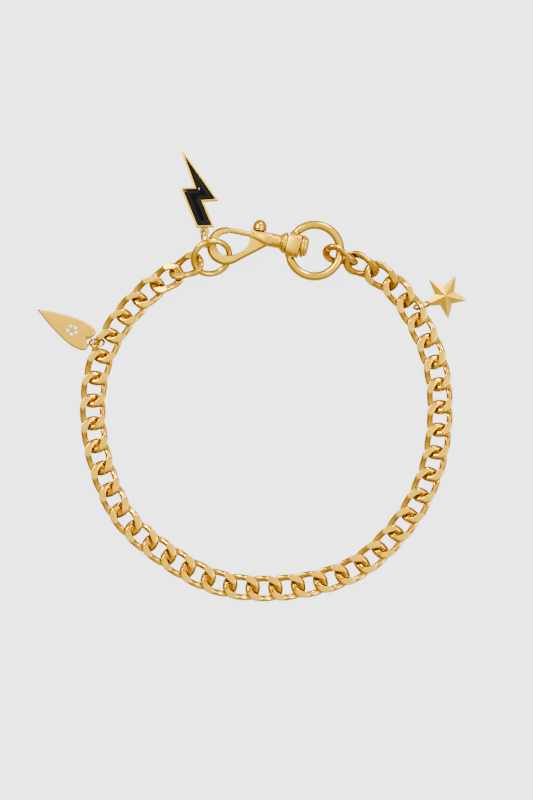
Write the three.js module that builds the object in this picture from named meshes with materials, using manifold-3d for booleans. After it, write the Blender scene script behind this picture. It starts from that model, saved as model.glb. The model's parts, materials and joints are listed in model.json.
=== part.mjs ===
// Charm necklace: a closed loop of ground curb links, fastened by a bolt snap on a swivel ring,
// with three small charms. Millimetres, +Z up, lying flat on z = 0.

import * as THREE from "three";
import Module from "manifold-3d";
import { mergeVertices } from "three/addons/utils/BufferGeometryUtils.js";

const wasm = await Module();
wasm.setup();

// Driving dimensions.

const link = {
  count: 42,
  length: 14.4,
  width: 9.77,
  height: 3.2,
  tipWire: 2.65,
  strandWire: 2.2,
  tipRise: 1.25,
  strandRise: 1.1,
  crossingRise: 1.0,
  weave: 0.86,
  crossingGap: 0.2,
  pressedFrom: 0.25,
  tipFill: 0.35,
  squareness: 2.4,
  stations: 16,
};

// The line of the link centres, from the clasp's hook side round to its ring side.
const route = [
  { angle: 119, radius: 64.3 },
  { angle: 134, radius: 65.1 },
  { angle: 150, radius: 66.3 },
  { angle: 165, radius: 66.9 },
  { angle: 180, radius: 66.5 },
  { angle: 196, radius: 66.2 },
  { angle: 215, radius: 67.0 },
  { angle: 233, radius: 65.8 },
  { angle: 254, radius: 66.4 },
  { angle: 277, radius: 65.9 },
  { angle: 300, radius: 67.0 },
  { angle: 322, radius: 65.9 },
  { angle: 340, radius: 65.4 },
  { angle: 358, radius: 65.2 },
  { angle: 376, radius: 66.3 },
  { angle: 391, radius: 67.0 },
  { angle: 404, radius: 68.2 },
  { angle: 411, radius: 67.7 },
  { angle: 418, radius: 66.7 },
  { angle: 425.4, radius: 66.0 },
];

// Links that are turned up by the clasp: roll about the chain's line, and rise off the floor.
const turnedLinks = {
  1: { roll: 36, rise: 2.67, turn: -8, inwards: 0.2 },
  2: { roll: 16, rise: 1.6 },
  3: { roll: 6, rise: 0.8 },
  4: { roll: 0, rise: 0.27 },
  5: { roll: 0, rise: 0.1 },
  6: { roll: 0, rise: 0.18 },
  7: { roll: 0, rise: 0.1 },
  37: { roll: 0, rise: 0.1 },
  38: { roll: 0, rise: 0.3 },
  39: { roll: -5, rise: 0.8 },
  40: { roll: -18, rise: 1.75 },
  41: { roll: -36, rise: 2.85 },
  42: { roll: -60, rise: 3.65 },
};

// The clasp, measured along its axis from the collar's face and across it, outwards from the loop.
const clasp = { x: 7.4, y: 65.0, height: 4.32, heading: -11.2, swivelTurn: -6 };
const swivel = { ringRadius: 9.77, wire: 3.3, centre: 10.6, skew: -3, lean: -2.5, steps: 28 };
const barrel = {
  start: 0.55,
  length: 4.7,
  cornerRadius: 4.45,
  sides: 6,
  turn: 13,
  bevel: 0.3,
  bore: 3.9,
  cut: 8.2,
};
const pin = {
  diameter: 2.9,
  headStart: 5.75,
  flange: 1.0,
  headDiameter: 8.6,
  domeDiameter: 7.4,
  headEnd: 8.0,
  round: 0.9,
};
const collar = { diameter: 7.9, width: 0.7, neckDiameter: 6.4, neckAt: -1.9 };
const tube = { diameter: 5.2, start: -8.8, end: -2.6, chamfer: 0.7 };
const housing = { diameter: 3.6, offset: 0.8, mouth: -14.5, end: -6.5 };
const bolt = { diameter: 1.9, tip: -22.05, tail: -10.6, clearance: 0.3, travel: 6 };
const knob = { at: -11.3, diameter: 5.1, foot: 3.35, waist: 4.2, top: 6.85, edge: 0.3 };
const stem = { at: -12.9, diameter: 1.0, clearance: 0.3, end: 4.7 };

// How far a cutter runs past what it cuts.
const overcut = 1;

// The hook's arm, from its free tip round the eye to its root, where it widens into a web.
const arm = { thickness: 2.3, bevel: 0.55, steps: 20 };
const armEdges = [
  { outer: [-22.5, 1.5], inner: [-22.5, -0.65] },
  { outer: [-25.1, 1.25], inner: [-24.1, -1.1] },
  { outer: [-28.2, -0.8], inner: [-25.8, -2.55] },
  { outer: [-29.8, -4.6], inner: [-26.4, -4.9] },
  { outer: [-29.35, -8.55], inner: [-25.9, -7.0] },
  { outer: [-26.85, -11.6], inner: [-24.7, -8.4] },
  { outer: [-22.7, -12.9], inner: [-22.6, -9.1] },
  { outer: [-18.9, -11.8], inner: [-20.0, -8.7] },
  { outer: [-16.8, -10.2], inner: [-18.2, -7.8] },
  { outer: [-14.9, -8.6], inner: [-16.5, -6.5] },
  { outer: [-12.7, -6.85], inner: [-15.0, -4.7] },
  { outer: [-11.2, -5.65], inner: [-14.35, -2.8] },
  { outer: [-9.6, -4.35], inner: [-14.2, -0.8] },
  { outer: [-7.4, -2.3], inner: [-13.2, 0.3] },
  { outer: [-6.5, -1.4], inner: [-11.0, 0.5] },
];

// Wire rings: centre, wire centreline radius, the direction of the highest point and its rise.
const jumpRing = {
  x: -21.8,
  y: 60.05,
  z: 4.62,
  radius: 6.8,
  wire: 1.84,
  rise: 3.68,
  towards: 117,
  steps: 24,
};
const smallRing = { wire: 0.85, steps: 14, sides: 6 };

// Each small ring stands on edge: centre, radius, the way its plane runs, and its lean.
const flashRing = { x: -23.85, y: 66.65, z: 7.42, radius: 3.1, heading: 92, lean: 0 };
const heartRing = { x: -65.14, y: 27.61, z: 2.7, radius: 2.75, heading: 183.8, lean: 32.9 };
const starRing = { x: 58.30, y: 41.44, z: 3.27, radius: 3.05, heading: 15.6, lean: 19.4 };

const flash = { x: -24.1, y: 69.75, z: 6.0, thickness: 1.6, lugRadius: 1.75, lugHole: 1.12 };
const enamel = { wall: 0.65, floor: 0.5, gap: 0.3, recess: 0.1 };
const flashOutline = [
  { x: -8.1, y: 31.1 },
  { x: -8.9, y: 31.1 },
  { x: -3.8, y: 16.85 },
  { x: -9.0, y: 16.35 },
  { x: -2.8, y: 1.5 },
  { x: 3.4, y: 1.7 },
  { x: -0.3, y: 11.15 },
  { x: 5.2, y: 11.55 },
];
const lug = { thickness: 0.6, holeDepth: 6, sides: 12 };

// The heart, measured from its lug along its length and across it: one half, tip to cleft.
const heart = {
  x: -67.6,
  y: 28.56,
  heading: 150.5,
  lift: 1.45,
  thickness: 1.7,
  bevel: 0.4,
  lugAcross: 0.4,
  lugRadius: 1.65,
  lugHole: 1.05,
};
const heartHalf = [
  { along: 23.5, across: 0 },
  { along: 20.7, across: 1.0 },
  { along: 17.6, across: 2.1 },
  { along: 13.0, across: 3.5 },
  { along: 8.2, across: 4.7 },
  { along: 5.0, across: 5.0 },
  { along: 2.4, across: 4.85 },
  { along: 0.8, across: 4.4 },
  { along: -0.2, across: 3.5 },
  { along: -0.2, across: 2.2 },
  { along: 0.5, across: 1.0 },
  { along: 1.9, across: 0 },
];
const flower = {
  along: 8.5,
  stones: 5,
  stoneRadius: 0.7,
  tableRadius: 0.42,
  ring: 1.6,
  rise: 0.5,
  bead: 0.35,
};

// The star, measured from its lug, which stands on the tip nearest the chain.
const star = {
  x: 60.58,
  y: 41.3,
  heading: 26,
  lift: 1.15,
  tip: 8.05,
  valley: 3.8,
  tipEdge: 0.5,
  peak: 2.2,
  lugRadius: 1.45,
  lugHole: 0.95,
};

const gold = { color: 0xd9b25f, roughness: 0.35, metalness: 1 };
const enamelBlack = { color: 0x0b0b0c, roughness: 0.15, metalness: 0 };

const necklace = new THREE.Group();

function radians(degrees) {
  return (degrees * Math.PI) / 180;
}

function addPiece(parent, name, geometry, finish) {
  const piece = new THREE.Mesh(geometry, new THREE.MeshStandardMaterial(finish));
  piece.name = name;
  parent.add(piece);
  return piece;
}

// Booleans on closed geometries.

function solid(geometry) {
  const bare = geometry.clone();
  bare.deleteAttribute("normal");
  bare.deleteAttribute("uv");
  const merged = mergeVertices(bare, 1e-4);
  const vertProperties = new Float32Array(merged.attributes.position.array);
  const triVerts = new Uint32Array(merged.index.array);
  return new wasm.Manifold(new wasm.Mesh({ numProp: 3, vertProperties, triVerts }));
}

function join(...geometries) {
  return geometries.map(solid).reduce((whole, next) => whole.add(next));
}

function cut(whole, ...geometries) {
  return geometries.map(solid).reduce((left, next) => left.subtract(next), whole);
}

function geometryOf(manifold) {
  const mesh = manifold.getMesh();
  const geometry = new THREE.BufferGeometry();
  geometry.setAttribute("position", new THREE.BufferAttribute(mesh.vertProperties, 3));
  geometry.setIndex(new THREE.BufferAttribute(mesh.triVerts, 1));
  return geometry;
}

// A closed tube-like surface: rows run round the loop, columns round the wire.
function loopSurface(rows, columns, pointAt) {
  const positions = [];
  const triangles = [];
  for (let row = 0; row < rows; row += 1) {
    for (let column = 0; column < columns; column += 1) {
      positions.push(...pointAt(row / rows, column));
      const nextRow = (row + 1) % rows;
      const nextColumn = (column + 1) % columns;
      const near = row * columns + column;
      const nearSide = row * columns + nextColumn;
      const far = nextRow * columns + column;
      const farSide = nextRow * columns + nextColumn;
      triangles.push(near, far, nearSide, nearSide, far, farSide);
    }
  }
  const geometry = new THREE.BufferGeometry();
  geometry.setAttribute("position", new THREE.Float32BufferAttribute(positions, 3));
  geometry.setIndex(triangles);
  return geometry;
}

// A profile of radius and place along x, turned about the x axis. It starts and ends on the axis.
function turned(profile, segments) {
  const points = profile.map(([radius, along]) => new THREE.Vector2(radius, along));
  return new THREE.LatheGeometry(points, segments).rotateZ(-Math.PI / 2);
}

function bevelledPlate(outline, thickness, bevel) {
  const shape = new THREE.Shape(outline.map((point) => new THREE.Vector2(point.x, point.y)));
  const settings = {
    depth: thickness - 2 * bevel,
    bevelEnabled: bevel > 0,
    bevelThickness: bevel,
    bevelSize: bevel,
    bevelOffset: -bevel,
    bevelSegments: 1,
  };
  return new THREE.ExtrudeGeometry(shape, settings).translate(0, 0, bevel);
}

// The curb link.

const wireSection = [
  { out: 1, up: 0 },
  { out: 0.55, up: 1 },
  { out: -0.55, up: 1 },
  { out: -1, up: 0 },
  { out: -0.55, up: -1 },
  { out: 0.55, up: -1 },
];

function linkCentreline(turn) {
  const halfLength = (link.length - link.tipWire) / 2;
  const halfWidth = (link.width - link.strandWire) / 2;
  const alongPart = Math.abs(Math.cos(turn)) / halfLength;
  const acrossPart = Math.abs(Math.sin(turn)) / halfWidth;
  const sum = alongPart ** link.squareness + acrossPart ** link.squareness;
  const radius = sum ** (-1 / link.squareness);
  return new THREE.Vector2(radius * Math.cos(turn), radius * Math.sin(turn));
}

// Each strand rises over its neighbour in one half and dips under it in the other. The wire is
// pressed to the link's height outside, and to the crossing gap inside.
function linkPoint(around, column) {
  const turn = 2 * Math.PI * around;
  const centre = linkCentreline(turn);
  const tangent = linkCentreline(turn + 0.001).sub(linkCentreline(turn - 0.001)).normalize();
  const rising = Math.sin(2 * turn);
  const tipness = (1 + Math.cos(2 * turn)) / 2;
  const plainRise = THREE.MathUtils.lerp(link.strandRise, link.tipRise, tipness);
  const rise = THREE.MathUtils.lerp(plainRise, link.crossingRise, rising ** 2);
  const wire = THREE.MathUtils.lerp(link.strandWire, link.tipWire, tipness ** link.tipFill);
  const half = link.height / 2;
  const inner = half + link.crossingGap / 2;
  const lowest = -half + inner * THREE.MathUtils.smoothstep(rising, 0, link.pressedFrom);
  const highest = half - inner * THREE.MathUtils.smoothstep(-rising, 0, link.pressedFrom);
  const side = wireSection[column];
  const reach = (side.out * wire) / 2;
  const height = THREE.MathUtils.clamp(link.weave * rising + rise * side.up, lowest, highest);
  return [centre.x + tangent.y * reach, centre.y - tangent.x * reach, height];
}

function chainRoute() {
  const points = route.map(({ angle, radius }) => {
    const turn = radians(angle);
    return new THREE.Vector3(radius * Math.cos(turn), radius * Math.sin(turn), 0);
  });
  return new THREE.CatmullRomCurve3(points, false, "centripetal");
}

function turnedLink(number) {
  return { roll: 0, rise: 0, turn: 0, inwards: 0, ...turnedLinks[number] };
}

function addChain() {
  const line = chainRoute();
  line.arcLengthDivisions = 2000;
  const spacing = line.getLength() / (link.count - 1);
  const geometry = loopSurface(link.stations, wireSection.length, linkPoint);
  for (let number = 1; number <= link.count; number += 1) {
    const share = (number - 1) / (link.count - 1);
    const place = line.getPointAt(share);
    const along = line.getTangentAt(share);
    const { roll, rise, turn, inwards } = turnedLink(number);
    const before = Math.max(number - 1, 1);
    const after = Math.min(number + 1, link.count);
    const climb = number in turnedLinks ? turnedLink(after).rise - turnedLink(before).rise : 0;
    const pitch = -Math.atan2(climb, (after - before) * spacing);
    const piece = addPiece(necklace, `link_${String(number).padStart(2, "0")}`, geometry, gold);
    const heading = Math.atan2(along.y, along.x);
    const height = link.height / 2 + rise;
    piece.position.set(place.x - inwards * along.y, place.y + inwards * along.x, height);
    piece.rotation.set(radians(roll), pitch, heading + radians(turn), "ZYX");
  }
}

// The clasp.

function armOutline() {
  const edgePoints = (side) => {
    const points = armEdges.map((row) => new THREE.Vector3(...row[side], 0));
    const line = new THREE.CatmullRomCurve3(points, false, "centripetal");
    return line.getPoints(arm.steps).map((point) => new THREE.Vector2(point.x, point.y));
  };
  return [...edgePoints("outer"), ...edgePoints("inner").reverse()];
}

function hookGeometry() {
  const tubeRadius = tube.diameter / 2;
  const headRadius = pin.headDiameter / 2;
  const body = turned([
    [0, tube.start],
    [tubeRadius - tube.chamfer, tube.start],
    [tubeRadius, tube.start + tube.chamfer],
    [tubeRadius, tube.end],
    [collar.neckDiameter / 2, collar.neckAt],
    [collar.diameter / 2, -collar.width],
    [collar.diameter / 2, 0],
    [pin.diameter / 2, 0],
    [pin.diameter / 2, pin.headStart],
    [headRadius, pin.headStart],
    [headRadius, pin.headStart + pin.flange],
    [pin.domeDiameter / 2, pin.headStart + pin.flange],
    [pin.domeDiameter / 2 - pin.round / 2, pin.headEnd - pin.round / 2],
    [pin.domeDiameter / 2 - 2 * pin.round, pin.headEnd],
    [0, pin.headEnd],
  ], 18);
  const shell = turned([
    [0, housing.mouth],
    [housing.diameter / 2, housing.mouth],
    [housing.diameter / 2, housing.end],
    [0, housing.end],
  ], 14).translate(0, housing.offset, 0);
  const plate = bevelledPlate(armOutline(), arm.thickness, arm.bevel).translate(0, 0, -arm.thickness / 2);
  const boreRadius = bolt.diameter / 2 + bolt.clearance;
  const boreEnd = bolt.tail + bolt.travel + bolt.clearance;
  const bore = turned([
    [0, housing.mouth - overcut],
    [boreRadius, housing.mouth - overcut],
    [boreRadius, boreEnd],
    [0, boreEnd],
  ], 12).translate(0, housing.offset, 0);
  const slotWidth = stem.diameter + 2 * stem.clearance;
  const slotTop = knob.foot + overcut;
  const slot = new THREE.BoxGeometry(bolt.travel + slotWidth, slotTop - housing.offset, slotWidth);
  slot.translate(stem.at + bolt.travel / 2, (slotTop + housing.offset) / 2, 0);
  return geometryOf(cut(join(body, shell, plate), bore, slot));
}

function boltGeometry() {
  const rod = turned([
    [0, bolt.tip],
    [bolt.diameter / 2, bolt.tip],
    [bolt.diameter / 2, bolt.tail],
    [0, bolt.tail],
  ], 12).translate(0, housing.offset, 0);
  const post = new THREE.CylinderGeometry(stem.diameter / 2, stem.diameter / 2, stem.end - housing.offset, 8);
  post.translate(stem.at, (stem.end + housing.offset) / 2, 0);
  return geometryOf(join(rod, post));
}

function knobGeometry() {
  const radius = knob.diameter / 2;
  const profile = [
    [0, knob.foot],
    [radius - knob.edge, knob.foot],
    [radius, knob.foot + knob.edge],
    [radius, knob.waist],
  ];
  const domeSteps = 4;
  for (let step = 1; step < domeSteps; step += 1) {
    const turn = radians((90 * step) / domeSteps);
    profile.push([radius * Math.cos(turn), knob.waist + (knob.top - knob.waist) * Math.sin(turn)]);
  }
  profile.push([0, knob.top]);
  const points = profile.map(([out, up]) => new THREE.Vector2(out, up));
  const dome = new THREE.LatheGeometry(points, 14).translate(knob.at, 0, 0);
  const socketRadius = stem.diameter / 2 + stem.clearance;
  const socketTop = stem.end + stem.clearance;
  const depth = socketTop - knob.foot + overcut;
  const socket = new THREE.CylinderGeometry(socketRadius, socketRadius, depth, 8);
  return geometryOf(cut(solid(dome), socket.translate(stem.at, socketTop - depth / 2, 0)));
}

function swivelGeometry() {
  const ring = new THREE.TorusGeometry(swivel.ringRadius, swivel.wire / 2, 10, swivel.steps);
  ring.translate(swivel.centre, 0, 0);
  const end = barrel.start + barrel.length;
  const block = turned([
    [0, barrel.start],
    [barrel.cornerRadius - barrel.bevel, barrel.start],
    [barrel.cornerRadius, barrel.start + barrel.bevel],
    [barrel.cornerRadius, end - barrel.bevel],
    [barrel.cornerRadius - barrel.bevel, end],
    [0, end],
  ], barrel.sides).rotateX(radians(barrel.turn));
  const gap = new THREE.BoxGeometry(barrel.length + 3 * overcut, barrel.cut, barrel.cut);
  gap.translate(barrel.start + barrel.length / 2, 0, 0);
  const bore = turned([
    [0, barrel.start - overcut],
    [barrel.bore / 2, barrel.start - overcut],
    [barrel.bore / 2, end + overcut],
    [0, end + overcut],
  ], 14);
  const open = cut(solid(ring), gap);
  return geometryOf(cut(open.add(solid(block)), bore));
}

function addClasp() {
  const frame = new THREE.Group();
  frame.position.set(clasp.x, clasp.y, clasp.height);
  frame.rotation.z = radians(clasp.heading);
  necklace.add(frame);
  const ring = addPiece(frame, "swivel_ring", swivelGeometry(), gold);
  ring.rotation.set(0, radians(swivel.lean), radians(swivel.skew), "ZYX");
  const turning = new THREE.Group();
  turning.rotation.x = radians(clasp.swivelTurn);
  frame.add(turning);
  addPiece(turning, "hook", hookGeometry(), gold);
  addPiece(turning, "bolt", boltGeometry(), gold);
  addPiece(turning, "thumb_knob", knobGeometry(), gold);
}

// Wire rings.

function addWireRing(name, ring) {
  const geometry = new THREE.TorusGeometry(ring.radius, ring.wire / 2, 7, ring.steps);
  const piece = addPiece(necklace, name, geometry, gold);
  const lean = Math.asin(ring.rise / ring.radius);
  piece.rotation.set(0, -lean, radians(ring.towards), "ZYX");
  piece.position.set(ring.x, ring.y, ring.z);
}

function addSmallRing(name, ring) {
  const { wire, sides, steps } = smallRing;
  const geometry = new THREE.TorusGeometry(ring.radius, wire / 2, sides, steps);
  const piece = addPiece(necklace, name, geometry, gold);
  piece.rotation.set(radians(90 - ring.lean), 0, radians(ring.heading), "ZYX");
  piece.position.set(ring.x, ring.y, ring.z);
}

// The charms.

// The outline moved inwards. An edge that would turn round is left out, and its neighbours meet.
function insetOutline(outline, distance) {
  const edges = outline.map((point, index) => {
    const next = outline[(index + 1) % outline.length];
    const way = new THREE.Vector2(next.x - point.x, next.y - point.y).normalize();
    return { x: point.x - way.y * distance, y: point.y + way.x * distance, way };
  });
  const corner = (edge, index, list) => {
    const before = list[(index + list.length - 1) % list.length];
    const crossing = before.way.x * edge.way.y - before.way.y * edge.way.x;
    const gap = { x: edge.x - before.x, y: edge.y - before.y };
    const reach = (gap.x * edge.way.y - gap.y * edge.way.x) / crossing;
    return { x: before.x + before.way.x * reach, y: before.y + before.way.y * reach };
  };
  const corners = edges.map(corner);
  const kept = edges.filter((edge, index) => {
    const next = corners[(index + 1) % corners.length];
    const { x, y } = corners[index];
    return (next.x - x) * edge.way.x + (next.y - y) * edge.way.y > 0;
  });
  return kept.map(corner);
}

function lugPlate(radius, across) {
  const outer = new THREE.CylinderGeometry(radius, radius, lug.thickness, lug.sides);
  return outer.rotateX(Math.PI / 2).translate(0, across, lug.thickness / 2);
}

function lugHole(radius, across) {
  const hole = new THREE.CylinderGeometry(radius, radius, lug.holeDepth, lug.sides);
  return hole.rotateX(Math.PI / 2).translate(0, across, 0);
}

function addFlash() {
  const frame = new THREE.Group();
  const reach = Math.max(...flashOutline.map((point) => point.y));
  frame.position.set(flash.x, flash.y, flash.z);
  frame.rotation.x = -Math.asin(flash.z / reach);
  necklace.add(frame);
  const plate = bevelledPlate(flashOutline, flash.thickness, 0);
  const pocketOutline = insetOutline(flashOutline, enamel.wall);
  const pocket = bevelledPlate(pocketOutline, flash.thickness, 0).translate(0, 0, enamel.floor);
  const body = cut(join(plate, lugPlate(flash.lugRadius, 0)), pocket, lugHole(flash.lugHole, 0));
  addPiece(frame, "lightning_frame", geometryOf(body), gold);
  const fillOutline = insetOutline(flashOutline, enamel.wall + enamel.gap);
  const depth = flash.thickness - enamel.floor - enamel.gap - enamel.recess;
  const fill = bevelledPlate(fillOutline, depth, 0).translate(0, 0, enamel.floor + enamel.gap);
  addPiece(frame, "lightning_enamel", fill, enamelBlack);
}

function heartOutline() {
  const rows = heartHalf.map((row) => new THREE.Vector3(row.along, row.across, 0));
  const side = new THREE.CatmullRomCurve3(rows, false, "centripetal").getSpacedPoints(14);
  const left = side.map((point) => ({ x: point.x, y: point.y }));
  const right = side.slice(1, -1).map((point) => ({ x: point.x, y: -point.y }));
  return [...left, ...right.reverse()];
}

function addHeart() {
  const plate = bevelledPlate(heartOutline(), heart.thickness, heart.bevel);
  const parts = [plate, lugPlate(heart.lugRadius, heart.lugAcross)];
  for (let index = 0; index < flower.stones; index += 1) {
    const turn = (2 * Math.PI * index) / flower.stones;
    const x = flower.along + flower.ring * Math.cos(turn);
    const y = flower.ring * Math.sin(turn);
    const { tableRadius, stoneRadius, rise } = flower;
    const stone = new THREE.CylinderGeometry(tableRadius, stoneRadius, 2 * rise, 8);
    parts.push(stone.rotateX(Math.PI / 2).translate(x, y, heart.thickness));
  }
  const bead = new THREE.SphereGeometry(flower.bead, 8, 6);
  parts.push(bead.translate(flower.along, 0, heart.thickness));
  const body = cut(join(...parts), lugHole(heart.lugHole, heart.lugAcross));
  const piece = addPiece(necklace, "heart", geometryOf(body), gold);
  const tipAt = heartHalf[0].along;
  piece.position.set(heart.x, heart.y, heart.lift);
  piece.rotation.set(0, Math.asin(heart.lift / tipAt), radians(heart.heading), "ZYX");
}

function starGeometry() {
  const ring = [];
  for (let corner = 0; corner < 10; corner += 1) {
    const turn = radians(180 + 36 * corner);
    const radius = corner % 2 === 0 ? star.tip : star.valley;
    ring.push([radius * Math.cos(turn), radius * Math.sin(turn)]);
  }
  const positions = [0, 0, 0, 0, 0, star.peak];
  ring.forEach(([x, y]) => positions.push(x, y, 0, x, y, star.tipEdge));
  const triangles = [];
  ring.forEach((corner, index) => {
    const low = 2 + 2 * index;
    const nextLow = 2 + 2 * ((index + 1) % ring.length);
    triangles.push(0, nextLow, low, 1, low + 1, nextLow + 1);
    triangles.push(low, nextLow, low + 1, low + 1, nextLow, nextLow + 1);
  });
  const geometry = new THREE.BufferGeometry();
  geometry.setAttribute("position", new THREE.Float32BufferAttribute(positions, 3));
  geometry.setIndex(triangles);
  return geometry;
}

function addStar() {
  const reach = star.tip + star.lugHole;
  const plate = starGeometry().translate(reach, 0, 0);
  const body = cut(join(plate, lugPlate(star.lugRadius, 0)), lugHole(star.lugHole, 0));
  const piece = addPiece(necklace, "star", geometryOf(body), gold);
  const farTips = reach + star.tip * Math.cos(radians(36));
  piece.position.set(star.x, star.y, star.lift);
  piece.rotation.set(0, Math.asin(star.lift / farTips), radians(star.heading), "ZYX");
}

addChain();
addClasp();
addWireRing("jump_ring", jumpRing);
addSmallRing("lightning_ring", flashRing);
addSmallRing("heart_ring", heartRing);
addSmallRing("star_ring", starRing);
addFlash();
addHeart();
addStar();

const bounds = new THREE.Box3().setFromObject(necklace, true);
const middle = bounds.getCenter(new THREE.Vector3());
necklace.position.set(-middle.x, -middle.y, 0);

export default necklace;
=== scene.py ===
import json
import math

import bmesh
import bpy
import numpy as np
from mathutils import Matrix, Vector
from mathutils.geometry import delaunay_2d_cdt


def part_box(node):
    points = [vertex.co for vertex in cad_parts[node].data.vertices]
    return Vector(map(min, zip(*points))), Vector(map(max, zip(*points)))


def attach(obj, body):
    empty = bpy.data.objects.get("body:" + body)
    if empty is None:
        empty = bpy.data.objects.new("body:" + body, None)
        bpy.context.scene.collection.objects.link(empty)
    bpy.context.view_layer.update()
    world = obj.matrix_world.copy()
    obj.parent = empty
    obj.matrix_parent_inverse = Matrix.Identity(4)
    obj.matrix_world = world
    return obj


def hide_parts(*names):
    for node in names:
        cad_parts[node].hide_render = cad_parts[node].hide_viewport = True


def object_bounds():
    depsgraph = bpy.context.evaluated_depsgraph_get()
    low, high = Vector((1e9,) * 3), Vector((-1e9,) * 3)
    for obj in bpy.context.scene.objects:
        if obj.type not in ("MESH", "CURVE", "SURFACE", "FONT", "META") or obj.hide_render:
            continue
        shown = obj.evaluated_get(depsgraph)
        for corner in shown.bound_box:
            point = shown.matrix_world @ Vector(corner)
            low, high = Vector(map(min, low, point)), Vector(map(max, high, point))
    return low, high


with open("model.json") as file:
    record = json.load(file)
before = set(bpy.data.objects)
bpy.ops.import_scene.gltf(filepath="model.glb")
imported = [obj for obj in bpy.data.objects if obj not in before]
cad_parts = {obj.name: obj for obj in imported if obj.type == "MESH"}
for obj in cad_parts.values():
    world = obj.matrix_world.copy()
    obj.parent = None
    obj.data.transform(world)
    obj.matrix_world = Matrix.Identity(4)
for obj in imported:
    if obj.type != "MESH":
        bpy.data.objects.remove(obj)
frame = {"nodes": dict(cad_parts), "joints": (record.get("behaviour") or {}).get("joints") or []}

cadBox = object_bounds()
mm = 0.001  # the shapes below are worked out in millimetres, and meshes are stored in metres
mergeWithin = 1e-7  # metres

view = {"height": 1600.0, "tall": 304.0, "right": 5.18, "back": 9.23, "sensor": 24.0, "farthest": 20.0}


# Data as an object in the scene.
def newObject(name, data):
    item = bpy.data.objects.new(name, data)
    bpy.context.scene.collection.objects.link(item)
    return item


# A long lens straight above the necklace: the view is view["tall"] millimetres tall on the floor.
def addCamera():
    data = bpy.data.cameras.new("topCamera")
    data.sensor_fit = "VERTICAL"
    data.sensor_height = view["sensor"]
    data.lens = view["sensor"] * view["height"] / view["tall"]
    data.clip_end = view["farthest"]
    camera = newObject("topCamera", data)
    centre = (Vector(cadBox[0]) + Vector(cadBox[1])) / 2
    camera.location = (centre.x + view["right"] * mm, centre.y - view["back"] * mm, view["height"] * mm)
    bpy.context.scene.camera = camera


addCamera()
print("camera is up")

# A shell is a pair: its points, and a list of arrays of faces that number those points.


# A grid of points, rows by columns by three, as a shell with four-sided faces. Each row closes on
# itself, and the last row may join the first.
def gridShell(points, closedRows=False):
    rows, columns = points.shape[:2]
    row, column = np.meshgrid(np.arange(rows if closedRows else rows - 1), np.arange(columns), indexing="ij")
    nextRow, nextColumn = (row + 1) % rows, (column + 1) % columns
    corners = [row * columns + column, nextRow * columns + column]
    corners += [nextRow * columns + nextColumn, row * columns + nextColumn]
    return points.reshape(-1, 3), [np.stack(corners, -1).reshape(-1, 4)]


# Several shells as one: each one's faces count on from the points before it.
def joinShells(*shells):
    starts = np.cumsum([0] + [len(points) for points, faces in shells])
    faces = [part + start for (points, parts), start in zip(shells, starts) for part in parts]
    return np.concatenate([points for points, parts in shells]), faces


# A smooth step: 0 below low, 1 above high, and 3 t squared less 2 t cubed between them.
def softStep(value, low, high):
    share = np.clip((value - low) / (high - low), 0, 1)
    return share * share * (3 - 2 * share)


# Angles once round the circle.
def onceRound(count):
    return np.linspace(0, 2 * math.pi, count, endpoint=False)


# Points at a radius and an angle: radius times cosine, radius times sine, and any heights given.
def polar(radius, angle, *height):
    return np.stack([radius * np.cos(angle), radius * np.sin(angle), *height], -1)


# Flat points, all at one height.
def raised(flat, height):
    return np.column_stack([flat, np.full(len(flat), height)])


# A value's size to a power, with the value's own sign: what bends a circle into a superellipse.
def signedPower(value, power):
    return np.sign(value) * np.abs(value) ** power


# From start to end: start plus their difference times the share.
def lerp(start, end, share):
    return start + (end - start) * share


# The lower of two values, less (width - their distance) squared over 4 widths where they are near.
def softLower(one, other, width):
    return np.minimum(one, other) - np.maximum(width - np.abs(one - other), 0) ** 2 / (4 * width)


mostCut = 0.49  # the share of an edge that the cut of one corner may take


# Each corner of a line becomes a parabola that starts and ends cut before and after it:
# (1 - t) squared times its start, 2 t (1 - t) times the corner, t squared times its end.
def roundCorners(corners, cut, steps=5, closed=True):
    corners = np.asarray(corners, float)
    before, after = np.roll(corners, 1, 0), np.roll(corners, -1, 0)
    cut = np.broadcast_to(np.asarray(cut, float), len(corners))[:, None]
    toBefore, toAfter = before - corners, after - corners
    lengthBefore = np.linalg.norm(toBefore, axis=1, keepdims=True)
    lengthAfter = np.linalg.norm(toAfter, axis=1, keepdims=True)
    start = corners + toBefore / lengthBefore * np.minimum(cut, mostCut * lengthBefore)
    end = corners + toAfter / lengthAfter * np.minimum(cut, mostCut * lengthAfter)
    t = np.linspace(0, 1, steps)[None, :, None]
    bends = (1 - t) ** 2 * start[:, None] + 2 * t * (1 - t) * corners[:, None] + t * t * end[:, None]
    if closed:
        return bends.reshape(-1, corners.shape[1])
    middle = bends[1:-1].reshape(-1, corners.shape[1])
    return np.concatenate([corners[:1], middle, corners[-1:]])


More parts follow.
